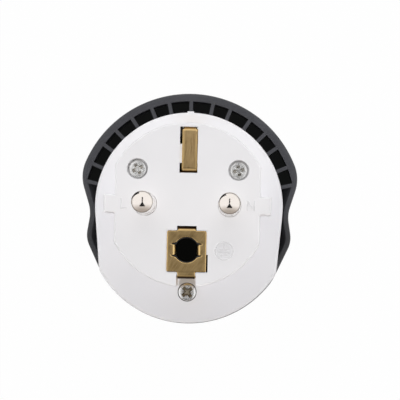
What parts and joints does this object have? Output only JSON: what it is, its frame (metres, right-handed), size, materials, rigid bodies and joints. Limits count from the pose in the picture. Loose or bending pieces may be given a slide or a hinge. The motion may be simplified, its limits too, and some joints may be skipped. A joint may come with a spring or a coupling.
{
  "type": "earthed plug adapter",
  "caption": "Travel plug adapter: white round-pin earthed plug nose with brass earth contacts, dark ribbed grip sleeve and a multi-pattern socket face behind.",
  "frame": {"origin": "plug axis, midway between the pins, on the socket face that the adapter stands on", "axes": "+Z along the pins away from the socket face, +X from the live pin to the neutral pin, -Y towards the earth hole and the chin"},
  "size_m": [0.0506, 0.054, 0.0695],
  "materials": {
    "white_plastic": "fine satin moulding",
    "dark_plastic": "fine satin moulding",
    "inner_plastic": "plain moulding",
    "nickel": "bright nickel plating",
    "brass": "plain rolled sheet",
    "screw_steel": "zinc plated"
  },
  "bodies": {
    "root": {"plug_housing": "white_plastic", "socket_cover": "white_plastic", "grip_sleeve": "dark_plastic", "contact_carrier": "inner_plastic", "pin_carrier": "inner_plastic", "live_pin": "nickel", "neutral_pin": "nickel", "pin_washers": "screw_steel", "live_contact": "brass", "neutral_contact": "brass", "earth_contact": "brass", "upper_earth_clip": "brass", "lower_earth_clip": "brass", "earth_rivets": "brass", "face_screws": "screw_steel", "chin_screw": "screw_steel"}
  },
  "joints": []
}
